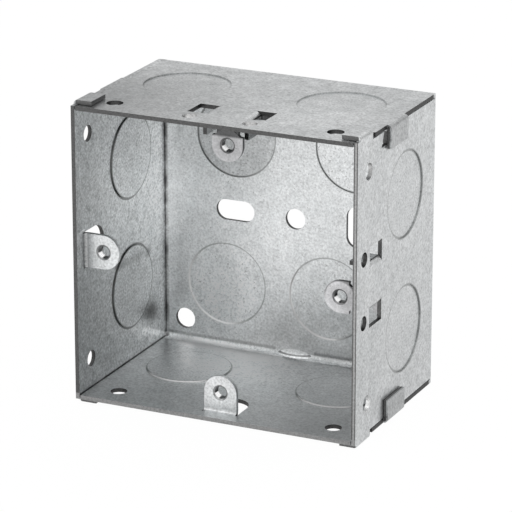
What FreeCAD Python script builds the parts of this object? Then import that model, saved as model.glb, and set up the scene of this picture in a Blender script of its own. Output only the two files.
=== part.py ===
import FreeCAD, Part
import math
import os
from types import SimpleNamespace

import Sketcher
from FreeCAD import Vector

# A one-gang flush back box pressed from one galvanised steel blank: a square back plate, four
# walls folded up from it, wrapped lock tabs at the corners, and two lugs lanced out of the left
# and bottom walls. Two more lugs are brackets of their own, which slide between guide ears on the
# top and right walls. The back of the box lies on Y = 0, the open front faces -Y and Z is up.

DRIVING = [
    ("width", 72.0, "outside width and height of the square box"),
    ("depth", 47.0, "front edge to the back of the back plate"),
    ("sheet", 1.0, "thickness of the steel sheet"),
    ("back_bend", 1.0, "inside radius of the bends round the back plate"),
    ("dimple_length", 10.4, "length of the dimple that stiffens the bottom's bend"),
    ("dimple_rise", 1.6, "how far that dimple stands in from the corner of the bend"),
    ("seam", 0.2, "gap between folded edges that meet at a corner"),
    ("fit", 0.1, "clearance of a layer that lies on another"),
    ("lock_inset", 1.5, "front edge to the side walls' lock tabs"),
    ("lock_end", 8.5, "front edge to the back of the side walls' lock tabs"),
    ("lock_reach", 4.6, "how far those tabs reach over the top and bottom"),
    ("lock_notch", 1.2, "notch behind those tabs"),
    ("clasp_front", 16.4, "front edge to the lock tabs of the top and bottom"),
    ("clasp_length", 10.0, "length of those tabs along the corner"),
    ("clasp_drop", 5.6, "how far those tabs reach over the side walls"),
    ("clasp_notch", 3.0, "length of the notch in the side wall in front of the top's tabs"),
    ("clasp_cut", 4.6, "how far that notch reaches down from the top"),
    ("vent_inset", 8.2, "end of a wall to its small end holes"),
    ("vent_back", 6.3, "front edge to the small end holes"),
    ("vent_bore", 4.0, "diameter of the small end holes"),
    ("knockout_bore", 20.8, "diameter of a knockout"),
    ("knockout_back", 27.8, "front edge to the middle of the wall knockouts"),
    ("knockout_top", 19.8, "middle of the top or bottom to its knockouts"),
    ("knockout_side", 16.4, "middle of a side wall to its knockouts"),
    ("knockout_shear", 0.3, "how far a knockout is pressed through the sheet"),
    ("knockout_play", 0.3, "how much smaller the raised face of a knockout is"),
    ("back_upper_across", 15.7, "middle of the back to its upper knockouts"),
    ("back_upper_up", 19.0, "middle of the back up to its upper knockouts"),
    ("back_lower_left", 18.4, "middle of the back to its lower left knockout"),
    ("back_lower_right", 8.9, "middle of the back to its lower right knockout"),
    ("back_lower_down", 19.1, "middle of the back down to its lower knockouts"),
    ("slot_across", 16.0, "middle of the back to its fixing slots"),
    ("slot_length", 10.2, "length of a fixing slot"),
    ("fixing_bore", 5.2, "width of a fixing slot and of the round holes"),
    ("corner_inset", 5.3, "inside of the walls to the round hole in the corner of the back"),
    ("lug_reach", 5.85, "outside of a wall to its lug's hole: opposite holes are 60.3 apart"),
    ("lug_width", 8.3, "width of a lug"),
    ("lug_back", 4.0, "front edge to the front of a lug"),
    ("lug_bend", 0.8, "inside radius of a lug's bend"),
    ("lug_clear", 0.3, "gap round a lug that is lanced from a wall"),
    ("thread_bore", 2.9, "bore of a lug's M3.5 thread"),
    ("thread_mouth", 0.4, "chamfer at the mouth of that bore"),
    ("collar_bore", 5.2, "outside diameter of the collar drawn round the bore"),
    ("collar_height", 1.0, "height of that collar behind the lug"),
    ("ear_across", 4.75, "middle of the wall to the inside of a guide ear"),
    ("ear_bend", 0.4, "inside radius of an ear's bend"),
    ("ear_height", 4.0, "how far an ear stands in from the wall"),
    ("window_front", 7.3, "front edge to the window that an ear leaves"),
    ("window_back", 14.3, "front edge to the back of that window"),
    ("window_across", 9.7, "middle of the wall to the far side of that window"),
    ("eye_across", 7.6, "middle of the wall to the round hole by an ear"),
    ("eye_back", 4.1, "front edge to that hole"),
    ("eye_bore", 3.5, "diameter of that hole"),
    ("slider_width", 7.7, "width of a sliding lug"),
    ("slider_bend", 1.5, "inside radius of a sliding lug's bend"),
    ("slider_waist", 5.4, "width of a sliding lug at its bend"),
    ("neck_width", 3.6, "width of a sliding lug's foot between the ears"),
    ("tee_width", 13.0, "width of the foot's end behind the ears"),
    ("tee_length", 2.3, "length of the foot's end"),
    ("lug_shift", 2.0, "how far the sliding lugs stand from the middle of their walls"),
]


class Size:
    """A length held as a number and as the expression that binds it to the spreadsheet."""

    def __init__(self, text, value):
        self.text = text
        self.value = value

    def __add__(self, other):
        return Size(f"({self.text} + {other.text})", self.value + other.value)

    def __sub__(self, other):
        return Size(f"({self.text} - {other.text})", self.value - other.value)

    def __mul__(self, factor):
        return Size(f"({self.text} * {factor})", self.value * factor)

    def __truediv__(self, divisor):
        return Size(f"({self.text} / {divisor})", self.value / divisor)

    def __neg__(self):
        return self * -1


doc = FreeCAD.newDocument("flush_back_box")
sheet = doc.addObject("Spreadsheet::Sheet", "Sizes")
for row, (alias, value, meaning) in enumerate(DRIVING, start=1):
    sheet.set(f"A{row}", meaning)
    sheet.set(f"B{row}", str(value))
    sheet.setAlias(f"B{row}", alias)
doc.recompute()

d = SimpleNamespace(**{alias: Size(f"Sizes.{alias}", value) for alias, value, meaning in DRIVING})

ZERO = Size("0", 0.0)
half = d.width / 2
inner = half - d.sheet
lug_hole = half - d.lug_reach
lug_half = d.lug_width / 2
lug_rear = d.lug_back + d.sheet
ear_outside = d.ear_across + d.sheet


class Wall:
    """A wall of the box, and how sketches on the origin planes see it: in plan along the wall's
    normal, in profile along the wall, and from the front. Places are given by the distance across
    the wall, the distance back from the front edge and the distance out from the box's middle."""

    def __init__(self, name, plan_plane, profile_plane, sign):
        self.name = name
        self.plan_plane = plan_plane
        self.profile_plane = profile_plane
        self.sign = sign
        self.level = plan_plane == "XY_Plane"

    def plan(self, across, back):
        y = back - d.depth
        return (across, y) if self.level else (y, across)

    def profile(self, back, out):
        y = back - d.depth
        return (y, out * self.sign) if self.level else (out * self.sign, y)

    def front(self, across, out):
        return (across, out * self.sign) if self.level else (out * self.sign, across)


TOP = Wall("top", "XY_Plane", "YZ_Plane", 1)
BOTTOM = Wall("bottom", "XY_Plane", "YZ_Plane", -1)
RIGHT = Wall("right", "YZ_Plane", "XY_Plane", 1)
LEFT = Wall("left", "YZ_Plane", "XY_Plane", -1)


# Sketches: every corner, centre, radius and diameter is bound to the spreadsheet.

def origin_plane(body, role):
    return next(plane for plane in body.Origin.OriginFeatures if plane.Role == role)


def vector(place):
    return Vector(place[0].value, place[1].value, 0)


def pin(sketch, geometry, point, place):
    """Ties a sketch point to the two sizes that give its place."""
    for kind, axis, size in (("DistanceX", -2, place[0]), ("DistanceY", -1, place[1])):
        if size is ZERO:
            sketch.addConstraint(Sketcher.Constraint("PointOnObject", geometry, point, axis))
        elif size.value < 0:
            index = sketch.addConstraint(Sketcher.Constraint(kind, geometry, point, -1, 1, -size.value))
            sketch.setExpression(f"Constraints[{index}]", (-size).text)
        else:
            index = sketch.addConstraint(Sketcher.Constraint(kind, -1, 1, geometry, point, size.value))
            sketch.setExpression(f"Constraints[{index}]", size.text)


def add_edge(sketch, start, end):
    """Adds the edge between two corners and returns it with the numbers of its end points."""
    a, b = vector(start), vector(end)
    if len(end) == 2:
        return sketch.addGeometry(Part.LineSegment(a, b)), 1, 2
    radius, centre = end[2], vector(end[3:])
    middle = centre + ((a + b) * 0.5 - centre).normalize() * radius.value
    edge = sketch.addGeometry(Part.Arc(a, middle, b))
    index = sketch.addConstraint(Sketcher.Constraint("Radius", edge, radius.value))
    sketch.setExpression(f"Constraints[{index}]", radius.text)
    if sketch.getPoint(edge, 1).distanceToPoint(a) < sketch.getPoint(edge, 2).distanceToPoint(a):
        return edge, 1, 2
    return edge, 2, 1


def outline(sketch, corners):
    """Draws a closed outline through (x, y) corners. A corner (x, y, radius, x0, y0) is reached by
    an arc of that radius round (x0, y0)."""
    edges = [add_edge(sketch, start, end) for start, end in zip(corners, corners[1:] + corners[:1])]
    for (edge, start, end), (after, after_start, after_end) in zip(edges, edges[1:] + edges[:1]):
        sketch.addConstraint(Sketcher.Constraint("Coincident", edge, end, after, after_start))
    for (edge, start, end), corner in zip(edges, corners):
        pin(sketch, edge, start, corner)


def rectangle(sketch, corner, opposite):
    (x0, y0), (x1, y1) = corner, opposite
    outline(sketch, [(x0, y0), (x1, y0), (x1, y1), (x0, y1)])


def circle(sketch, centre, bore):
    edge = sketch.addGeometry(Part.Circle(vector(centre), Vector(0, 0, 1), bore.value / 2))
    pin(sketch, edge, 3, centre)
    index = sketch.addConstraint(Sketcher.Constraint("Diameter", edge, bore.value))
    sketch.setExpression(f"Constraints[{index}]", bore.text)


def obround(sketch, along, across, upright):
    """Draws a fixing slot centred at a place along and across its length."""
    r = d.fixing_bore / 2
    reach = d.slot_length / 2 - r
    low, high = along - reach, along + reach
    corners = [
        (low, across - r, r, low, across), (high, across - r), (high + r, across, r, high, across),
        (high, across + r, r, high, across), (low, across + r), (low - r, across, r, low, across),
    ]
    if upright:
        corners = [(c[1], c[0]) if len(c) == 2 else (c[1], c[0], c[2], c[4], c[3]) for c in corners]
    outline(sketch, corners)


# Features

def feature(body, kind, label, plane, offset, length, draw, reverse=False):
    """Adds a pad or a pocket, with its sketch drawn on an origin plane moved along its normal."""
    sketch = body.newObject("Sketcher::SketchObject", f"{label}_sketch")
    sketch.AttachmentSupport = (origin_plane(body, plane), "")
    sketch.MapMode = "FlatFace"
    sketch.setExpression("AttachmentOffset.Base.z", offset.text)
    draw(sketch)
    made = body.newObject(f"PartDesign::{kind}", label)
    made.Profile = sketch
    made.Reversed = reverse
    made.setExpression("Length", length.text)
    return made


def front_pad(body, label, back0, back1, draw):
    """Pads an outline seen from the front between two distances back from the front edge."""
    return feature(body, "Pad", label, "XZ_Plane", d.depth - back1, back1 - back0, draw)


def front_pocket(body, label, back0, back1, draw):
    return feature(body, "Pocket", label, "XZ_Plane", d.depth - back0, back1 - back0, draw)


def wall_pocket(body, label, wall, draw):
    """Cuts an outline, seen in plan, through one wall."""
    offset = (half + d.sheet) * wall.sign
    return feature(body, "Pocket", label, wall.plan_plane, offset, d.sheet * 3, draw, wall.sign < 0)


def dress(body, kind, label, base, edges, size):
    """Adds a fillet or a chamfer to the named edges of a feature."""
    made = body.newObject(f"PartDesign::{kind}", label)
    made.Base = (base, edges)
    made.setExpression("Radius" if kind == "Fillet" else "Size", size.text)
    return made


def edge_names(shape, chosen):
    return [f"Edge{i}" for i, edge in enumerate(shape.Edges, start=1) if chosen(edge)]


# The box, folded from one blank

def fold_blank(box):
    """The back plate and four walls, with rounded bends where the walls leave the plate."""
    def edges_at(shape, y):
        return edge_names(shape, lambda edge: all(abs(v.Y - y) < 1e-6 for v in edge.Vertexes))

    block = feature(box, "Pad", "blank", "XZ_Plane", ZERO, d.depth,
                    lambda sketch: rectangle(sketch, (-half, -half), (half, half)))
    doc.recompute()
    dress(box, "Fillet", "outer_bends", block, edges_at(block.Shape, 0), d.back_bend + d.sheet)
    hollow = front_pocket(box, "walls", ZERO, d.depth - d.sheet,
                          lambda sketch: rectangle(sketch, (-inner, -inner), (inner, inner)))
    doc.recompute()
    dress(box, "Fillet", "inner_bends", hollow, edges_at(hollow.Shape, -d.sheet.value), d.back_bend)


def press_dimple(box):
    """A lens-shaped dimple pressed into the middle of the bend between the back and the bottom."""
    def lens(label, kind, y, z, length, rise, angle):
        sketch = box.newObject("Sketcher::SketchObject", f"{label}_sketch")
        sketch.AttachmentSupport = (origin_plane(box, "XY_Plane"), "")
        sketch.MapMode = "FlatFace"
        sketch.setExpression("AttachmentOffset.Base.y", y.text)
        sketch.setExpression("AttachmentOffset.Base.z", z.text)
        reach = length / 2
        radius = Size(f"({reach.text} ^ 2 + {rise.text} ^ 2) / (2 * {rise.text})",
                      (reach.value ** 2 + rise.value ** 2) / (2 * rise.value))
        outline(sketch, [
            (-reach, ZERO), (ZERO, -rise, radius, ZERO, radius - rise),
            (reach, ZERO, radius, ZERO, radius - rise),
        ])
        made = box.newObject(f"PartDesign::{kind}", label)
        made.Profile = sketch
        made.ReferenceAxis = (sketch, ["H_Axis"])
        made.Angle = angle
        made.Reversed = True

    lens("dimple", "Revolution", -d.sheet, -inner, d.dimple_length, d.dimple_rise, 90)
    outside = d.sheet / 4
    lens("dimple_outside", "Groove", -outside, outside - half, d.dimple_length - d.sheet, d.dimple_rise,
         360)


def fold_corners(box):
    """The seams at the four corners and the tabs that lock the walls to each other: near the front
    the side walls wrap over the top and bottom, and further back these wrap over the side walls."""
    corners = [(sx, sz) for sx in (1, -1) for sz in (1, -1)]
    bent = half + d.fit

    def at_corners(points):
        def draw(sketch):
            for sx, sz in corners:
                outline(sketch, [tuple(
                    size if i == 2 else size * (sz if i in (1, 4) else sx)
                    for i, size in enumerate(point)) for point in points])
        return draw

    def box_at_corners(x0, z0, x1, z1):
        return at_corners([(x0, z0), (x1, z0), (x1, z1), (x0, z1)])

    far = half + d.sheet
    near = inner - d.sheet
    front_pocket(box, "front_seams", ZERO, d.lock_end,
                 box_at_corners(inner - d.seam, near, inner, far))
    front_pocket(box, "side_seams", d.lock_end, d.depth - d.sheet - d.back_bend,
                 box_at_corners(near, inner - d.seam, far, inner))
    front_pocket(box, "seam_notches", d.lock_end, d.lock_end + d.lock_notch,
                 box_at_corners(inner - d.seam, inner - d.seam, far, far))
    front_pad(box, "side_locks", d.lock_inset, d.lock_end, at_corners([
        (inner, inner), (half, inner), (half, bent),
        (inner, bent + d.sheet, d.sheet, inner, bent),
        (half - d.lock_reach, bent + d.sheet), (half - d.lock_reach, bent), (inner, bent),
    ]))
    front_pad(box, "clasps", d.clasp_front, d.clasp_front + d.clasp_length, at_corners([
        (inner, inner), (bent, inner), (bent, half - d.clasp_drop),
        (bent + d.sheet, half - d.clasp_drop), (bent + d.sheet, inner),
        (bent, half, d.sheet, bent, inner), (inner, half),
    ]))

    def draw_notch(sketch):
        foot, head = half - d.clasp_cut, inner
        outline(sketch, [
            RIGHT.plan(foot, d.clasp_front - d.clasp_notch), RIGHT.plan(foot, d.clasp_front),
            RIGHT.plan(head, d.clasp_front), RIGHT.plan(head, d.clasp_front - d.clasp_notch / 2),
        ])

    feature(box, "Pocket", "clasp_notches", RIGHT.plan_plane, half + d.sheet,
            d.width + d.sheet * 2, draw_notch)


def pierce_walls(box):
    """The small holes near the ends of all four walls."""
    for wall in (TOP, RIGHT):
        def draw(sketch):
            for side in (1, -1):
                circle(sketch, wall.plan((half - d.vent_inset) * side, d.vent_back), d.vent_bore)
        feature(box, "Pocket", f"{wall.name}_vents", wall.plan_plane, half + d.sheet,
                d.width + d.sheet * 2, draw)


def press_knockouts(box):
    """Knockouts half sheared through the walls from outside, and through the back from inside."""
    for wall in (TOP, BOTTOM, LEFT, RIGHT):
        across = d.knockout_top if wall.level else d.knockout_side

        def draw_discs(bore):
            def draw(sketch):
                for side in (1, -1):
                    circle(sketch, wall.plan(across * side, d.knockout_back), bore)
            return draw

        feature(box, "Pocket", f"{wall.name}_knockouts", wall.plan_plane, half * wall.sign,
                d.knockout_shear, draw_discs(d.knockout_bore), wall.sign < 0)
        feature(box, "Pad", f"{wall.name}_knockout_faces", wall.plan_plane, inner * wall.sign,
                d.knockout_shear, draw_discs(d.knockout_bore - d.knockout_play), wall.sign > 0)

    def draw_back(sketch):
        for across in (d.back_upper_across, -d.back_upper_across):
            circle(sketch, (across, d.back_upper_up), d.knockout_bore)
        for across in (-d.back_lower_left, d.back_lower_right):
            circle(sketch, (across, -d.back_lower_down), d.knockout_bore)

    feature(box, "Pocket", "back_knockouts", "XZ_Plane", d.sheet, d.knockout_shear, draw_back)


def pierce_back(box):
    """The fixing holes: a lying slot, an upright slot and a round hole between them, and a round
    hole in the lower left corner."""
    def draw(sketch):
        obround(sketch, -d.slot_across, ZERO, False)
        obround(sketch, ZERO, d.slot_across, True)
        circle(sketch, (ZERO, ZERO), d.fixing_bore)
        circle(sketch, (d.corner_inset - inner, d.corner_inset - inner), d.fixing_bore)

    feature(box, "Pocket", "fixings", "XZ_Plane", -d.sheet, d.sheet * 3, draw, True)


def thread_lug(body, wall, width):
    """The round end of a lug, the collar drawn behind it and the bore for its thread."""
    centre = wall.front(ZERO, lug_hole)
    front_pad(body, f"{wall.name}_lug_end", d.lug_back, lug_rear,
              lambda sketch: circle(sketch, centre, width))
    front_pad(body, f"{wall.name}_lug_collar", d.lug_back, lug_rear + d.collar_height,
              lambda sketch: circle(sketch, centre, d.collar_bore))
    bore = front_pocket(body, f"{wall.name}_lug_bore", d.lug_back, lug_rear + d.collar_height,
                        lambda sketch: circle(sketch, centre, d.thread_bore))
    doc.recompute()
    mouth_y = d.lug_back.value - d.depth.value
    middle = Vector(centre[0].value, mouth_y, centre[1].value)

    def is_mouth(edge):
        return (edge.Curve.TypeId == "Part::GeomCircle"
                and edge.Curve.Center.distanceToPoint(middle) < 1e-6
                and abs(edge.Curve.Radius - d.thread_bore.value / 2) < 1e-6)

    dress(body, "Chamfer", f"{wall.name}_lug_mouth", bore, edge_names(bore.Shape, is_mouth), d.thread_mouth)


def lance_lug(box, wall):
    """A lug lanced out of a wall and bent in, with the round-ended opening that it leaves."""
    start = d.lug_back - d.lug_bend
    curve = (d.lug_bend + d.sheet * 0.44) * (math.pi / 2)
    tip = start + curve + (inner - lug_hole + lug_half - d.lug_bend) + d.lug_clear
    reach = lug_half + d.lug_clear
    end = tip - reach

    def draw_opening(sketch):
        outline(sketch, [
            wall.plan(reach, start), wall.plan(reach, end),
            (*wall.plan(ZERO, tip), reach, *wall.plan(ZERO, end)),
            (*wall.plan(-reach, end), reach, *wall.plan(ZERO, end)),
            wall.plan(-reach, start),
        ])

    def draw_tongue(sketch):
        bend = inner - d.lug_bend
        outline(sketch, [
            (*wall.profile(start, half), d.lug_bend + d.sheet, *wall.profile(start, bend)),
            wall.profile(start, inner),
            (*wall.profile(d.lug_back, bend), d.lug_bend, *wall.profile(start, bend)),
            wall.profile(d.lug_back, lug_hole), wall.profile(lug_rear, lug_hole),
            wall.profile(lug_rear, bend),
        ])

    wall_pocket(box, f"{wall.name}_lug_opening", wall, draw_opening)
    feature(box, "Pad", f"{wall.name}_lug", wall.profile_plane, -lug_half, d.lug_width, draw_tongue)
    thread_lug(box, wall, d.lug_width)


def lance_ears(box, wall):
    """Two guide ears lanced out of a wall and bent in, their windows, and a round hole by each."""
    start = d.ear_across - d.ear_bend
    bend = inner - d.ear_bend
    tip = inner - d.ear_height

    def draw_openings(sketch):
        for side in (1, -1):
            rectangle(sketch, wall.plan(start * side, d.window_front),
                      wall.plan(d.window_across * side, d.window_back))
            circle(sketch, wall.plan(d.eye_across * side, d.eye_back), d.eye_bore)

    def draw_ears(sketch):
        for side in (1, -1):
            outline(sketch, [
                wall.front(start * side, half),
                (*wall.front(ear_outside * side, bend), d.ear_bend + d.sheet,
                 *wall.front(start * side, bend)),
                wall.front(ear_outside * side, tip), wall.front(d.ear_across * side, tip),
                wall.front(d.ear_across * side, bend),
                (*wall.front(start * side, inner), d.ear_bend, *wall.front(start * side, bend)),
            ])

    wall_pocket(box, f"{wall.name}_windows", wall, draw_openings)
    front_pad(box, f"{wall.name}_ears", d.window_front + d.fit, d.window_back - d.fit, draw_ears)


# The sliding lugs

def sliding_lug(wall, shift_axis, shift):
    """A lug bent from a strip of its own. Its foot lies on the wall, passes between the two guide
    ears and widens behind them, so that the lug slides along the wall but is not pulled out."""
    body = doc.addObject("PartDesign::Body", f"{wall.name}_sliding_lug")
    face = inner - d.fit
    bend = face - d.sheet - d.slider_bend
    foot = lug_rear + d.slider_bend
    tee_front = d.window_back + d.fit * 2
    tee_back = tee_front + d.tee_length
    plate = d.slider_width / 2
    neck = d.neck_width / 2
    tee = d.tee_width / 2

    def draw_bend(sketch):
        outline(sketch, [
            wall.profile(foot, face),
            (*wall.profile(d.lug_back, bend), d.slider_bend + d.sheet, *wall.profile(foot, bend)),
            wall.profile(d.lug_back, lug_hole), wall.profile(lug_rear, lug_hole),
            wall.profile(lug_rear, bend),
            (*wall.profile(foot, face - d.sheet), d.slider_bend, *wall.profile(foot, bend)),
        ])

    def draw_foot(sketch):
        outline(sketch, [
            wall.plan(neck, foot), wall.plan(neck, tee_front), wall.plan(tee, tee_front),
            wall.plan(tee, tee_back), wall.plan(-tee, tee_back), wall.plan(-tee, tee_front),
            wall.plan(-neck, tee_front), wall.plan(-neck, foot),
        ])

    feature(body, "Pad", f"{wall.name}_lug_bend", wall.profile_plane, -d.slider_waist / 2, d.slider_waist,
            draw_bend)
    front_pad(body, f"{wall.name}_lug_plate", d.lug_back, lug_rear,
              lambda sketch: rectangle(sketch, wall.front(-plate, lug_hole), wall.front(plate, bend)))
    feature(body, "Pad", f"{wall.name}_lug_foot", wall.plan_plane, face * wall.sign, d.sheet, draw_foot,
            wall.sign > 0)
    thread_lug(body, wall, d.slider_width)
    body.setExpression(f"Placement.Base.{shift_axis}", shift.text)
    return body


box = doc.addObject("PartDesign::Body", "box_body")
fold_blank(box)
press_dimple(box)
fold_corners(box)
pierce_walls(box)
press_knockouts(box)
pierce_back(box)
for lug_wall in (LEFT, BOTTOM):
    lance_lug(box, lug_wall)
for ear_wall in (TOP, RIGHT):
    lance_ears(box, ear_wall)
pieces = [box, sliding_lug(TOP, "x", d.lug_shift), sliding_lug(RIGHT, "z", -d.lug_shift)]
doc.recompute()

for item in doc.Objects:
    if {"Invalid", "Error"} & set(item.State):
        raise RuntimeError(f"{item.Label} did not build")

os.makedirs("parts", exist_ok=True)
for piece in pieces:
    shape = piece.Shape
    if shape.isNull() or not shape.isValid() or len(shape.Solids) != 1:
        raise RuntimeError(f"{piece.Label} is not one sound solid")
    shape.exportStep(f"parts/{piece.Label}.step")
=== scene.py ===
import math

import bpy
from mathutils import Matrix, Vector


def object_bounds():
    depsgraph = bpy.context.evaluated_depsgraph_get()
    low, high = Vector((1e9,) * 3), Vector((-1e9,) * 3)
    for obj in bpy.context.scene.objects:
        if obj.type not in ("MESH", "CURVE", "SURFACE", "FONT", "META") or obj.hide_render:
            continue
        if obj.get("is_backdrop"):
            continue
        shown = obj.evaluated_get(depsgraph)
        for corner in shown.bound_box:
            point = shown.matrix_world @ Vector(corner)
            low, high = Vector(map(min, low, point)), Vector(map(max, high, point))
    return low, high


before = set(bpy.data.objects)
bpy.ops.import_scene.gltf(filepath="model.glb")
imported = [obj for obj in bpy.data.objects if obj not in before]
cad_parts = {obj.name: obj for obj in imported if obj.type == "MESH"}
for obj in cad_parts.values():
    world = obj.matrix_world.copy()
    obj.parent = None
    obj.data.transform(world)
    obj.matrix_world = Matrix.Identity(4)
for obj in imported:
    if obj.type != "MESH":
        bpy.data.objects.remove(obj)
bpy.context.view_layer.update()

# The box: its depth, half its width, its sheet, the planes of a wall, and the slack for a plane
MM = 0.001
DEPTH = 47 * MM
HALF = 36 * MM
SHEET = 1.0 * MM
INNER = HALF - SHEET
MID_WALL = HALF - 0.5 * SHEET
CLEAR = HALF - 1.5 * SHEET
HAIR = 0.1 * MM
SKIN = HALF + 0.5 * HAIR

# Knockouts: their radius and their middles on the walls and the back
KNOCKOUT = 10.4 * MM
WALL_KNOCKOUT_Y = -19.2 * MM
LEVEL_KNOCKOUT_X = 19.8 * MM
SIDE_KNOCKOUT_Z = 16.4 * MM
BACK_KNOCKOUTS = [(-15.7 * MM, 19.0 * MM), (15.7 * MM, 19.0 * MM),
                  (-18.4 * MM, -19.1 * MM), (8.9 * MM, -19.1 * MM)]

# Lugs: the middles of their bores, their bend, edge and half width, a bore's radii, and the thread
LUG_REACH = 30.15 * MM
LUG_SHIFT = 2.0 * MM
FIXED_LUGS = [(-LUG_REACH, 0.0), (0.0, -LUG_REACH)]
SLIDING_LUGS = [(LUG_SHIFT, LUG_REACH), (LUG_REACH, -LUG_SHIFT)]
LUG_BACK_Y = -30 * MM
LUG_BEND_Y = -43.3 * MM
LUG_EDGE_Y = (-43.1 * MM, -41.9 * MM)
LUG_HALF = 4.1 * MM
BORE = 1.55 * MM
MOUTH = 1.92 * MM
THREAD_PITCH = 0.6 * MM

# Dimple in the bend between the back and the bottom
DIMPLE = 10.4 * MM
DIMPLE_RISE = 1.6 * MM
DIMPLE_CREST = 0.8 * MM

# Stretches of the walls, measured back from the front edge or out from the middle
SEAM_BACK = (8.4 * MM, 44.5 * MM)
EAR_BACK = (7.0 * MM, 14.5 * MM)
EAR_OUT = 30 * MM
EYE_BACK = (2.0 * MM, 6.2 * MM)
EYE_OUT = (5.5 * MM, 9.7 * MM)
END_HOLE_BACK = (3.8 * MM, 8.8 * MM)
END_HOLE_OUT = (25 * MM, 30.6 * MM)
WINDOW_BACK = 6.5 * MM
PLATE_OUT = 33 * MM
BEND_Y = -2.8 * MM

# Lock tabs of the top, over the side walls: their stretch and their lower edge
TAB_Y = (-30.8 * MM, -20.4 * MM)
TAB_FOOT_Z = 30.4 * MM

# Shares of a normal: a face looks along an axis above the first, and across it below the second
FACE_ON = 0.7
EDGE_ON = 0.4

# Brightness of a bare cut edge, and how much brighter some of the edges are: the eyes' rims are bright
# metal with a painted glint, and the end holes' rims get a painted glint low down
BARE_EDGE = 0.08
FRONT_EDGE = 0.04
BOTTOM_EDGE = 0.24
RIGHT_EDGE = 0.06
WORN_EDGE = 0.30
LOCK_EDGE = 0.08
EYE_RIM_AND_GLINT = 0.6
LOW_HOLE_GLINT = 0.85
HIGH_HOLE_EDGE = 0.45

# Strength of the dark line round the knockouts of each wall, and of its painted highlight along the front
BOTTOM_RING = 1.0
TOP_RING = 0.45
LEFT_RING = 1.35
RIGHT_RING = 0.85
RING_SHINE = 0.75

# Sides on which a back knockout's line and a thread get a painted highlight, across and up
LINE_SIDE = (-0.8, -0.6)
GLINT_SIDE = (-0.74, -0.67)

# Ways that bright places face
FLAT_WAY = (0.0, -0.80, 0.60)
CREST_WAY = (0.0, -0.81, 0.585)
BACK_WAY = (0.1, -1.0, 0.0)
LEFT_WAY = (1.0, -0.1, 0.0)
LINE_WAY = (0.0, -0.85, 0.53)
GLINT_WAY = (0.36, -0.80, 0.49)

# Places in mm where the zinc is made darker or lighter, for smudges and for painted shade and painted
# highlights: middle, reach to each side and strength
# Painted shade over the front left of the top, and a painted highlight on its right
OUTSIDE_PAINTED_LIGHT = [
    ((-36, -38, 36), (48, 44, 4), -0.42),
    ((18.7, -31.7, 36), (20, 16, 4), 0.12),
]
# Inside the left wall: smudges, painted shade towards its front, and a painted highlight just above the
# left lug's bend
LEFT_SMUDGES_AND_LIGHT = [
    ((-36, -8, -32.8), (4, 5, 2.2), 0.5),
    ((-36, -13.5, -30.4), (4, 6, 2.2), 0.4),
    ((-36, -44.2, 4.9), (4, 2.2, 0.5), 1.2),
    ((-36, -19.8, -15), (5, 13, 13), -0.16),
    ((-36, -19, 16), (5, 12, 12), -0.10),
    ((-36, -47, 12), (5, 26, 40), -0.36),
    ((-36, -40, -24), (5, 34, 30), -0.36),
    ((-36, -9.2, -25.4), (4, 6, 5.0), -0.62),
    ((-36, -6, 4), (5, 14, 26), 0.18),
    ((-36, -25.5, -9.2), (4, 4.5, 2.4), -0.48),
    ((-36, -18, -9.6), (4, 11, 2.0), -0.38),
    ((-36, -10.8, -10.3), (4, 2.8, 2.2), -0.52),
]
# Inside the back: smudges with painted light and shade, darkest along its bottom
BACK_SMUDGES_AND_LIGHT = [
    ((10.6, 0, -29.3), (9, 4, 6), 0.25),
    ((-21.6, 0, -28.5), (10, 4, 6), 0.12),
    ((-4.3, 0, -26.9), (8, 4, 7), -0.12),
    ((-18.4, 0, -17), (13, 4, 13), 0.09),
    ((-28, 0, -2), (12, 4, 22), 0.08),
    ((-20, 0, -26), (20, 4, 16), 0.28),
    ((-16, 0, -6), (34, 4, 30), 0.24),
    ((10, 0, -34), (34, 4, 18), -0.56),
]
# Inside the bottom: smudges with painted light and shade, and painted highlights along its bend into the
# back
BOTTOM_SMUDGES_AND_LIGHT = [
    ((-10.5, -6.2, -36), (16, 6, 4), 0.24),
    ((0, -44, -36), (44, 16, 4), -0.12),
    ((30, -40, -36), (30, 40, 5), -0.46),
    ((-20, -14, -36), (15, 12, 4), 0.22),
    ((-8, -14, -36), (30, 26, 5), 0.42),
    ((0, -3, -35.5), (60, 7, 2), 0.30),
    ((-25, -3, -35), (16, 5, 2.5), 0.5),
]
# On the fixed lugs: the left one darker and the bottom one lighter
FIXED_LUG_TONES = [
    ((-32, -43, -1.5), (5, 2, 5), -0.12),
    ((0, -43, -31), (7, 2, 7), 0.20),
]
# Painted shade on the ears beside the two sliding lugs
EAR_SHADE = [((side * 7, -36.5, 31.8), (6, 9, 3.8), -0.75) for side in (-1, 1)]
EAR_SHADE += [((31.8, -36.5, side * 7), (3.8, 9, 6), -0.60) for side in (1, -1)]
INSIDE_SMUDGES_AND_LIGHT = LEFT_SMUDGES_AND_LIGHT + BACK_SMUDGES_AND_LIGHT + BOTTOM_SMUDGES_AND_LIGHT + FIXED_LUG_TONES + EAR_SHADE


def grey(level):
    return (level, level, level, 1)


# Colours: the zinc of the sheet and of the lugs, and what marks them, some of it painted shade and painted
# highlights
SHEET_LIGHT = (0.815, 0.825, 0.83, 1)
SHEET_DARK = (0.595, 0.615, 0.62, 1)
LUG_LIGHT = (0.63, 0.63, 0.64, 1)
LUG_DARK = (0.48, 0.48, 0.49, 1)
RING_DARK = (0.18, 0.185, 0.18, 1)
RING_HIGHLIGHT = grey(0.75)
SPECK = grey(0.2)
BEND_SHADE = grey(0.10)
MOUTH_SHADE = grey(0.05)
BORE_SHADE = grey(0.04)
FLOOR = grey(0.86)
WHITE = grey(1)


# Node trees

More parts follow.
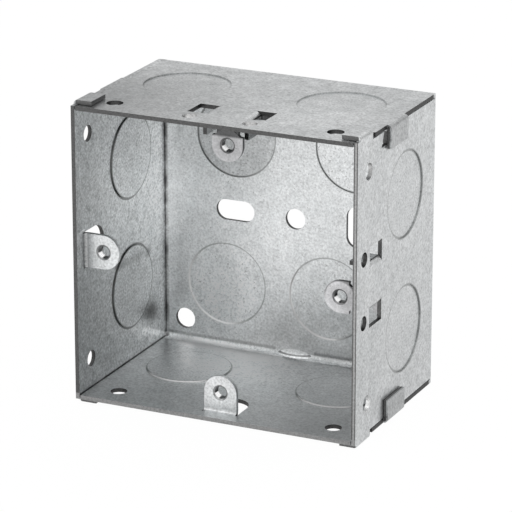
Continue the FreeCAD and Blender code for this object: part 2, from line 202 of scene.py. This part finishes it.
class Value:
    """A number in a node tree, with plain arithmetic. A comparison is one where it holds and zero
    elsewhere, so a product of comparisons is one where all of them hold."""

    def __init__(self, nodes, socket):
        self.nodes = nodes
        self.socket = socket

    def __add__(self, other):
        return self.nodes.math("ADD", self, other)

    def __sub__(self, other):
        return self.nodes.math("SUBTRACT", self, other)

    def __rsub__(self, other):
        return self.nodes.math("SUBTRACT", other, self)

    def __mul__(self, other):
        return self.nodes.math("MULTIPLY", self, other)

    def __truediv__(self, other):
        return self.nodes.math("DIVIDE", self, other)

    def __abs__(self):
        return self.nodes.math("ABSOLUTE", self)

    def __lt__(self, other):
        return self.nodes.math("LESS_THAN", self, other)

    def __gt__(self, other):
        return self.nodes.math("GREATER_THAN", self, other)

    def between(self, low, high):
        return (self > low) * (self < high)

    def ramp(self, low, high, start=0.0, end=1.0, curve="LINEAR"):
        """From start to end while the number goes from low to high, and level beyond."""
        inputs = {0: self, 1: low, 2: high, 3: start, 4: end}
        node = self.nodes.add("ShaderNodeMapRange", inputs, interpolation_type=curve)
        return Value(self.nodes, node.outputs[0])

    def fade(self, low, high, strength=1.0, curve="LINEAR"):
        """From the strength down to zero while the number goes from low to high."""
        return self.ramp(low, high, strength, 0.0, curve)

    def where(self, level, elsewhere=1.0):
        """One level where this is one, and the other where this is zero."""
        return self.ramp(0.0, 1.0, elsewhere, level)


class Nodes:
    """A node tree, with a short way to add each kind of node to it."""

    def __init__(self, tree):
        self.tree = tree
        tree.nodes.clear()

    def add(self, kind, inputs=None, **settings):
        node = self.tree.nodes.new(kind)
        for name, setting in settings.items():
            setattr(node, name, setting)
        for key, given in (inputs or {}).items():
            if isinstance(given, Value):
                given = given.socket
            if isinstance(given, bpy.types.NodeSocket):
                self.tree.links.new(given, node.inputs[key])
            else:
                node.inputs[key].default_value = given
        return node

    def math(self, operation, a, b=0.0):
        return Value(self, self.add("ShaderNodeMath", {0: a, 1: b}, operation=operation).outputs[0])

    def xyz(self, vector):
        parts = self.add("ShaderNodeSeparateXYZ", {0: vector}).outputs
        return [Value(self, part) for part in parts]

    def position(self):
        """Where a point lies in the frame of the whole part."""
        return self.xyz(self.add("ShaderNodeNewGeometry").outputs["Position"])

    def facing(self):
        """How far a face looks along each axis, either way."""
        return [abs(part) for part in self.xyz(self.add("ShaderNodeNewGeometry").outputs["True Normal"])]

    def own_place(self):
        """Where a point lies in its own piece, which may move."""
        return self.add("ShaderNodeTexCoord").outputs["Object"]

    def rays(self):
        """Where the camera looks straight at a surface, and where it is seen mirrored."""
        kinds = self.add("ShaderNodeLightPath").outputs
        straight = Value(self, kinds["Is Camera Ray"])
        glossy = Value(self, kinds["Is Glossy Ray"])
        return straight, largest(glossy, kinds["Is Transmission Ray"])

    def noise(self, place, size, detail=2.0, rough=0.5):
        inputs = {"Vector": place, "Scale": 1.0 / size, "Detail": detail, "Roughness": rough}
        return Value(self, self.add("ShaderNodeTexNoise", inputs).outputs[0])

    def mix(self, share, colour, other):
        return self.add("ShaderNodeMix", {0: share, 6: colour, 7: other}, data_type="RGBA").outputs[2]

    def scale(self, colour, amount):
        return self.add("ShaderNodeVectorMath", {0: colour, "Scale": amount}, operation="SCALE").outputs[0]

    def turn(self, share, normal, way):
        return self.add("ShaderNodeMix", {0: share, 4: normal, 5: way}, data_type="VECTOR").outputs[1]

    def glow(self, strength):
        return self.add("ShaderNodeEmission", {"Color": WHITE, "Strength": strength}).outputs[0]

    def blend(self, share, shader, other):
        return self.add("ShaderNodeMixShader", {0: share, 1: shader, 2: other}).outputs[0]


def largest(value, *others):
    for other in others:
        value = value.nodes.math("MAXIMUM", value, other)
    return value


def distance(a, b):
    """How far a point with these two coordinates lies from zero."""
    squares = a * a + b * b
    return squares.nodes.math("SQRT", squares)


def new_material(name):
    material = bpy.data.materials.new(name)
    material.use_nodes = True
    return material, Nodes(material.node_tree)


# Cut edges of the sheet

def cut_edges(n):
    """Where a face is the sheared edge of the sheet, and how bright that edge is, from where it lies and
    how it faces."""
    across, y, up = n.position()
    x = abs(across)
    z = abs(up)
    nx, ny, nz = n.facing()
    back = y + DEPTH
    front = (back < HAIR) * (ny > FACE_ON)
    seam = z.between(INNER - HAIR, SKIN) * (nx > FACE_ON) * back.between(*SEAM_BACK)
    seam = seam * x.between(HALF - HAIR, SKIN)
    # The inner part of the clasps' edges, left dark as painted shade in the crease; their outer part keeps
    # the zinc
    clasps = x.between(SKIN, HALF + 0.7 * SHEET) * (nx < EDGE_ON) * (z < MID_WALL)
    locks = (z > SKIN) * (nz < EDGE_ON) * (x < MID_WALL)
    level = z.between(INNER - HAIR, SKIN) * (nz < EDGE_ON) * (x < CLEAR)
    upright = x.between(INNER - HAIR, SKIN) * (nx < EDGE_ON) * (z < CLEAR)
    # The ears' front edges: bare cut edges, also kept dark as painted shade
    ears = back.between(*EAR_BACK) * (ny > FACE_ON) * (largest(x, z) > EAR_OUT)
    walls = largest(seam, clasps, locks, level, upright, ears) * (y < BEND_Y)
    plate = (y > -SHEET - HAIR) * (ny < EDGE_ON) * (x < PLATE_OUT) * (z < PLATE_OUT)
    on_right = across > CLEAR
    worn = x.between(HALF - 0.72 * SHEET, HALF - 0.25 * SHEET)
    eyes = level * back.between(*EYE_BACK) * x.between(*EYE_OUT) * (up > 0.0)
    end_holes = on_right * back.between(*END_HOLE_BACK) * z.between(*END_HOLE_OUT)
    # The eyes' rims and the lower end holes' rims are lightened partly as a painted glint
    brighter = largest(front * FRONT_EDGE,
                       front * (up < -CLEAR) * BOTTOM_EDGE,
                       front * on_right * worn.where(WORN_EDGE, RIGHT_EDGE),
                       on_right * (back > WINDOW_BACK) * RIGHT_EDGE,
                       locks * LOCK_EDGE,
                       eyes * EYE_RIM_AND_GLINT,
                       end_holes * up.ramp(-5 * MM, 5 * MM, LOW_HOLE_GLINT, HIGH_HOLE_EDGE))
    return largest(front, walls, plate), brighter * (1.0 - seam) + BARE_EDGE


# Sheared lines round the knockouts

def knockout_rings(n):
    """How dark the sheared line round each knockout is, and where a painted highlight takes its place:
    along the front on the bottom, and on the lower left of the back's lower knockouts."""
    fine = 0.12 * MM
    broad = 0.26 * MM
    soft = 0.18 * MM
    x, y, z = n.position()
    along = y - WALL_KNOCKOUT_Y
    level = distance(abs(x) - LEVEL_KNOCKOUT_X, along)
    upright = distance(abs(z) - SIDE_KNOCKOUT_Z, along)
    on_level = (abs(z) > HALF - 2 * SHEET) * z.ramp(-HALF, HALF, BOTTOM_RING, TOP_RING)
    on_side = (abs(x) > HALF - 2 * SHEET) * x.ramp(-HALF, HALF, LEFT_RING, RIGHT_RING)
    ahead = z.between(-MID_WALL, 0.0) * y.fade(-28 * MM, -22 * MM, RING_SHINE)
    rings = [(level, on_level, fine, ahead), (upright, on_side, broad, 0.0)]
    on_back = y > -2 * SHEET
    inside = y < -0.5 * SHEET
    for middle_x, middle_z in BACK_KNOCKOUTS:
        dx = x - middle_x
        dz = z - middle_z
        toward = dx * LINE_SIDE[0] + dz * LINE_SIDE[1]
        lower_left = toward.ramp(1 * MM, 5 * MM) * inside if middle_z < 0 else 0.0
        rings.append((distance(dx, dz), on_back, fine, lower_left))
    lines = []
    shining = []
    for radius, strength, width, shine in rings:
        off = abs(radius - (KNOCKOUT - HAIR))
        line = off.fade(width, width + soft) * strength
        lines.append(line)
        shining.append(line * shine)
    return largest(*lines), largest(*shining)


def darker_disc(n):
    """One on the inside of the back's upper left knockout, which is darker than the back round it."""
    x, y, z = n.position()
    middle_x, middle_z = BACK_KNOCKOUTS[0]
    off = distance(x - middle_x, z - middle_z)
    return (off < KNOCKOUT) * y.between(-3 * SHEET, -0.3 * SHEET)


# Smudges, painted shade and painted highlights

def smudges_and_painted_light(n, outside):
    """How much the zinc is lightened or, below zero, darkened at its place, for smudges and for painted
    shade and painted highlights.
    """
    place = n.position()
    inside = 1.0 - largest(outside, place[1] > -0.5 * SHEET)
    amounts = []
    for side, rows in ((outside, OUTSIDE_PAINTED_LIGHT), (inside, INSIDE_SMUDGES_AND_LIGHT)):
        for middle, reach, strength in rows:
            dx, dy, dz = ((at - m * MM) / (r * MM) for at, m, r in zip(place, middle, reach))
            off = distance(distance(dx, dy), dz)
            amounts.append(off.fade(0.0, 1.0, curve="SMOOTHSTEP") * (side * strength))
    return sum(amounts[1:], amounts[0])


# Bends round the back

def dimple(n):
    """Where the dimple on the bottom's bend is, and the height above the bottom."""
    x, y, z = n.position()
    rise = z + INNER
    radius = ((DIMPLE / 2) ** 2 + DIMPLE_RISE ** 2) / (2 * DIMPLE_RISE)
    square = n.math("MAXIMUM", radius ** 2 - x * x, 0.0)
    swell = n.math("SQRT", square) - (radius - DIMPLE_RISE)
    off = abs(distance(rise, y + SHEET) - swell)
    return (off < 0.12 * MM) * (swell > 0.5 * MM), rise


def shaded_bends(n):
    """How dark the bends are, as painted shade in their creases: the upright one by the left wall, the
    upper side of the bottom's, the lower side of the dimple and the left lug's; and how dark the gap
    between the left wall and the bottom is."""
    sharp = 0.3 * MM
    x, y, z = n.position()
    uneven = n.noise(n.own_place(), size=5 * MM).ramp(0.35, 0.6, 0.35, 0.9)
    upright = distance(x + (INNER - sharp), y + (SHEET + sharp)).fade(0.25 * MM, 0.75 * MM) * uneven
    height = abs(z + INNER - 1.2 * MM)
    level = height.fade(0.2 * MM, 0.7 * MM, strength=0.45) * (y > -2 * SHEET) * (abs(x) > DIMPLE / 2)
    on_dimple, rise = dimple(n)
    under = on_dimple * rise.between(0.5 * DIMPLE_CREST, DIMPLE_CREST) * 0.7
    lug = distance(x + (INNER - sharp), y - LUG_BEND_Y).fade(0.5 * MM, 0.9 * MM, strength=0.35)
    lug = lug * (abs(z) < LUG_HALF)
    gap = distance(x + INNER, z + INNER).fade(0.15 * MM, 0.4 * MM, strength=0.8)
    return largest(upright, level, under, lug, gap)


def flattened_bends(n, normal):
    """The normal, turned along the lower side of the bottom's bend, which the fold left nearly flat, on
    the dimple's crest, and along the left wall's bend, which is folded sharp."""
    slack = 0.05 * MM
    sharp = SHEET + slack
    x, y, z = n.position()
    run = x + INNER
    reach = y + SHEET
    rise = z + INNER
    place = n.own_place()
    ragged = (n.noise(place, size=0.5 * MM) - 0.5) * (3.0 * MM)
    wavy = (n.noise(place, size=6 * MM, detail=1.0) - 0.5) * (1.5 * MM)
    near = reach + ragged + wavy > -2.0 * MM
    low = rise.between(-HAIR, 0.9 * MM) * reach.between(-5 * MM, 0.0) * near * (abs(x) < INNER)
    on_dimple, height = dimple(n)
    bent = run.between(-slack, sharp) * reach.between(-sharp, slack) * (rise > 1.2 * MM)
    on_back = run + reach > 0.0
    normal = n.turn(low * 0.85, normal, FLAT_WAY)
    normal = n.turn(on_dimple * (height > DIMPLE_CREST), normal, CREST_WAY)
    normal = n.turn(bent * on_back, normal, BACK_WAY)
    normal = n.turn(bent * (1.0 - on_back), normal, LEFT_WAY)
    return n.add("ShaderNodeVectorMath", {0: normal}, operation="NORMALIZE").outputs[0]


# Lugs

def threads(n, place):
    """Where a lug's bore is, the height of the thread's helix there, where the thread gets a painted
    glint, and where the chamfer at the bore's mouth is."""
    x, y, z = n.xyz(place)
    ahead = y < LUG_BACK_Y
    marks = []
    for middle_x, middle_z in FIXED_LUGS + SLIDING_LUGS:
        dx = x - middle_x
        dz = z - middle_z
        off = distance(dx, dz)
        bore = (off < BORE) * ahead
        turn = n.math("ARCTAN2", dz, dx) + y * (2 * math.pi / THREAD_PITCH)
        ridge = n.math("SINE", turn).ramp(-1.0, 1.0) * bore
        toward = (dx * GLINT_SIDE[0] + dz * GLINT_SIDE[1]) / off
        glint = toward.ramp(0.80, 0.92) * bore
        mouth = off.between(BORE, MOUTH) * ahead
        marks.append((bore, ridge, glint, mouth))
    return [largest(*masks) for masks in zip(*marks)]


def lug_faces(n, place):
    """How light the sliding lugs are round their bores: painted shade near them and a little painted
    highlight toward the rim, with a painted shadow line along the upper edge of the right lug."""
    x, _, z = n.xyz(place)
    shades = []
    for middle_x, middle_z in SLIDING_LUGS:
        off = distance(x - middle_x, z - middle_z)
        bore_shade = off.fade(2.2 * MM, 3.4 * MM, strength=0.14)
        edge = off.ramp(3.45 * MM, 3.75 * MM)
        on_right = middle_x > middle_z
        edge_shadow = z.ramp(middle_z - 1 * MM, middle_z + 1 * MM, 0.0, 0.55) if on_right else 0.0
        shades.append((off < 6 * MM) * (bore_shade + edge * edge_shadow))
    return 1.06 - largest(*shades)


def lug_zinc(n, place, zinc):
    """The zinc of the sliding lugs, with painted shade on the right lug toward the right wall, on the top
    lug and most over its bend, and darker on the rims' cut edges.
    """
    across, along, up = n.xyz(place)
    rim = (n.facing()[1] < EDGE_ON) * along.between(*LUG_EDGE_Y)
    right = across.ramp(29.5 * MM, 33 * MM, 1.0, 0.7)
    high = up.ramp(20 * MM, 25 * MM, 1.0, 0.78)
    top = up.ramp(31.9 * MM, 32.5 * MM, 1.0, 0.25)
    return n.scale(zinc, right * high * top * rim.where(0.3) * lug_faces(n, place))


# Galvanised sheet: mottled zinc with a fine grain, dark specks, and bare cut edges

def mottled_zinc(n, place, light, dark, mottling, cloud, grain, outside):
    """The zinc's colour, which is most mottled on the left wall and least specked low down and outside."""
    across, _, up = n.xyz(place)
    blotch = n.noise(place, size=16 * MM, detail=3.0, rough=0.55)
    tone = blotch * 0.4 + cloud * 0.45 + grain * 0.5
    zinc = n.mix(tone.ramp(0.42, 0.92), dark, light)
    coarse = n.noise(place, size=2.2 * MM, detail=3.0, rough=0.65)
    fine = n.noise(place, size=0.55 * MM, detail=1.0)
    on_left = across.between(-MID_WALL, -CLEAR)
    mottle = coarse * 0.35 + fine * 0.65 - 0.5
    mottle = mottle * outside.where(1.15 * mottling, mottling) * on_left.where(1.7)
    dusty = up.ramp(-5 * MM, 15 * MM, 0.0, 0.03) - outside * 0.03
    specks = (n.noise(place, size=0.5 * MM, detail=1.0, rough=0.4) + dusty).ramp(0.67, 0.73)
    return n.mix(specks * 0.5, n.scale(zinc, mottle + 1.0), SPECK)


def box_zinc(n, place, zinc, outside, rings, shining):
    """The zinc of the box: the lines round its knockouts with painted highlights, painted shade in the
    bends, smudges with painted light and shade, darker tabs, and a painted shadow under the upper lock
    tabs.
    """
    across, along, up = n.xyz(place)
    zinc = n.mix(rings * 0.6, zinc, RING_DARK)
    # A painted highlight on parts of the knockouts' lines
    zinc = n.mix(shining * 0.8, zinc, RING_HIGHLIGHT)
    # Painted shade in the bends
    zinc = n.mix(shaded_bends(n), zinc, BEND_SHADE)
    on_tab = abs(across) > HALF + 0.3 * SHEET
    # A painted shadow on the side walls just under the upper lock tabs
    tab_shadow = abs(across).between(HALF - HAIR, HALF + HAIR) * along.between(*TAB_Y)
    tab_shadow = tab_shadow * up.ramp(TAB_FOOT_Z - 0.7 * MM, TAB_FOOT_Z - HAIR) * (up < TAB_FOOT_Z)
    shade = smudges_and_painted_light(n, outside) + darker_disc(n).where(0.80)
    return n.scale(zinc, shade * on_tab.where(0.74) * tab_shadow.where(0.5))


def galvanised(name, light, dark, mottling, folded):
    """Zinc from light to dark. The folded box and the lugs each have marks of their own."""
    material, n = new_material(name)
    place = n.own_place()
    across, _, up = n.xyz(place)
    outside = largest(abs(across), abs(up)) > MID_WALL
    cloud = n.noise(place, size=3.5 * MM, detail=3.0, rough=0.6)
    grain = n.noise(place, size=0.5 * MM, rough=0.6)
    wave = n.noise(place, size=9 * MM, detail=1.0, rough=0.4)
    bore, ridge, glint, mouth = threads(n, place)
    height = grain * (0.035 * MM) + wave * (0.25 * MM) + ridge * (0.05 * MM)
    normal = n.add("ShaderNodeBump", {"Height": height, "Strength": 0.35, "Distance": 1.0}).outputs[0]
    normal = n.turn(glint, normal, GLINT_WAY)
    zinc = mottled_zinc(n, place, light, dark, mottling, cloud, grain, outside)
    cut, bare = cut_edges(n)
    if folded:
        rings, shining = knockout_rings(n)
        cut = cut * (rings < 0.05)
        zinc = box_zinc(n, place, zinc, outside, rings, shining)
        normal = n.turn(shining, normal, LINE_WAY)
        normal = flattened_bends(n, normal)
    else:
        zinc = lug_zinc(n, place, zinc)
    colour = n.mix(cut, zinc, bare * (grain * 1.2 + 0.4))
    # Painted shade in the chamfer at each bore's mouth and in the thread's grooves, and a painted white
    # glint on the thread
    colour = n.mix(mouth * 0.6, colour, MOUTH_SHADE)
    colour = n.mix(bore * ridge.ramp(0.2, 0.8, 0.97, 0.8), colour, BORE_SHADE)
    colour = n.mix(glint * ridge.ramp(0.2, 0.8, 0.7, 1.0), colour, WHITE)
    rough = largest(cloud.ramp(0.3, 0.7, 0.24, 0.34) + grain * 0.08, cut * 0.45)
    surface = {"Base Color": colour, "Metallic": 1.0, "Roughness": rough, "Normal": normal}
    shader = n.add("ShaderNodeBsdfPrincipled", surface)
    n.add("ShaderNodeOutputMaterial", {"Surface": shader.outputs[0]})
    return material


sheet = galvanised("galvanised_sheet", SHEET_LIGHT, SHEET_DARK, mottling=1.1, folded=True)
lugs = galvanised("galvanised_lug", LUG_LIGHT, LUG_DARK, mottling=0.8, folded=False)
for name, material in (("box_body", sheet), ("top_sliding_lug", lugs), ("right_sliding_lug", lugs)):
    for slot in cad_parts[name].material_slots:
        slot.material = material


# Stage: a white floor, soft light and a camera

SENSOR_WIDTH = 36


def mirrored_floor(n):
    """How brightly the floor glows in the zinc: most ahead of the box, and least close behind it, where
    its shadow is painted.
    """
    x, y, _ = n.position()
    ahead = y.ramp(-110 * MM, -30 * MM, 1.17, 0.74)
    beyond = y.ramp(0.0, 150 * MM, 0.0, 0.12)
    shadow_behind = y.ramp(0.0, 10 * MM) * y.fade(30 * MM, 60 * MM) * x.fade(20 * MM, HALF)
    return ahead + beyond - shadow_behind * 0.6


def white_floor(size, gap):
    """A floor just under the box, white to the camera and with a faint shadow."""
    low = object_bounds()[0].z - gap
    bpy.ops.mesh.primitive_plane_add(size=size, location=(0, 0, low))
    floor = bpy.context.object
    floor.name = "floor"
    material, n = new_material("floor")
    straight, mirrored = n.rays()
    shadowed = n.add("ShaderNodeBsdfDiffuse", {"Color": FLOOR}).outputs[0]
    shown = n.blend(straight, shadowed, n.blend(0.95, shadowed, n.glow(1.02)))
    shown = n.blend(mirrored, shown, n.glow(mirrored_floor(n)))
    n.add("ShaderNodeOutputMaterial", {"Surface": shown})
    floor.data.materials.append(material)
    floor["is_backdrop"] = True


def white_world(level):
    """White to the camera, and an even light at the given level. In the zinc it is darker behind, with a
    bright band overhead."""
    world = bpy.data.worlds.new("studio")
    world.use_nodes = True
    bpy.context.scene.world = world
    n = Nodes(world.node_tree)
    straight, mirrored = n.rays()
    _, y, z = n.xyz(n.add("ShaderNodeTexCoord").outputs["Generated"])
    round_about = y.ramp(-0.2, 0.7, 0.75, 0.60)
    overhead = z.ramp(0.40, 0.70, curve="SMOOTHSTEP") * z.ramp(0.78, 0.92, 0.6, 0.05)
    strength = largest(mirrored * (round_about + overhead - level) + level, straight)
    background = n.add("ShaderNodeBackground", {"Color": WHITE, "Strength": strength}).outputs[0]
    n.add("ShaderNodeOutputWorld", {"Surface": background})


def softbox(name, place, aim, size, power):
    light = bpy.data.lights.new(name, "AREA")
    light.shape = "SQUARE"
    light.size = size
    light.energy = power
    box = bpy.data.objects.new(name, light)
    bpy.context.scene.collection.objects.link(box)
    box.location = place
    box.rotation_euler = (Vector(aim) - Vector(place)).to_track_quat("-Z", "Y").to_euler()


def photo_camera(azimuth, elevation, away, target, focal_pixels, photo_pixels):
    """A camera that far away from its target, and that many degrees to the right and up."""
    a = math.radians(azimuth)
    e = math.radians(elevation)
    back = Vector((math.sin(a) * math.cos(e), -math.cos(a) * math.cos(e), math.sin(e)))
    data = bpy.data.cameras.new("camera")
    data.sensor_width = SENSOR_WIDTH
    data.lens = focal_pixels / photo_pixels * SENSOR_WIDTH
    camera = bpy.data.objects.new("camera", data)
    bpy.context.scene.collection.objects.link(camera)
    camera.location = Vector(target) + back * away
    camera.rotation_euler = (-back).to_track_quat("-Z", "Y").to_euler()
    bpy.context.scene.camera = camera


white_floor(size=6, gap=0.02 * MM)
white_world(level=0.7)
softbox("key", place=(0.15, -0.15, 0.9), aim=(0, -DEPTH / 2, 0), size=0.8, power=1.2)
photo_camera(azimuth=25.10, elevation=18.60, away=0.780, target=(0.05 * MM, -DEPTH / 2, -2.47 * MM),
             focal_pixels=3317, photo_pixels=512)
bpy.context.scene.view_settings.view_transform = "Standard"
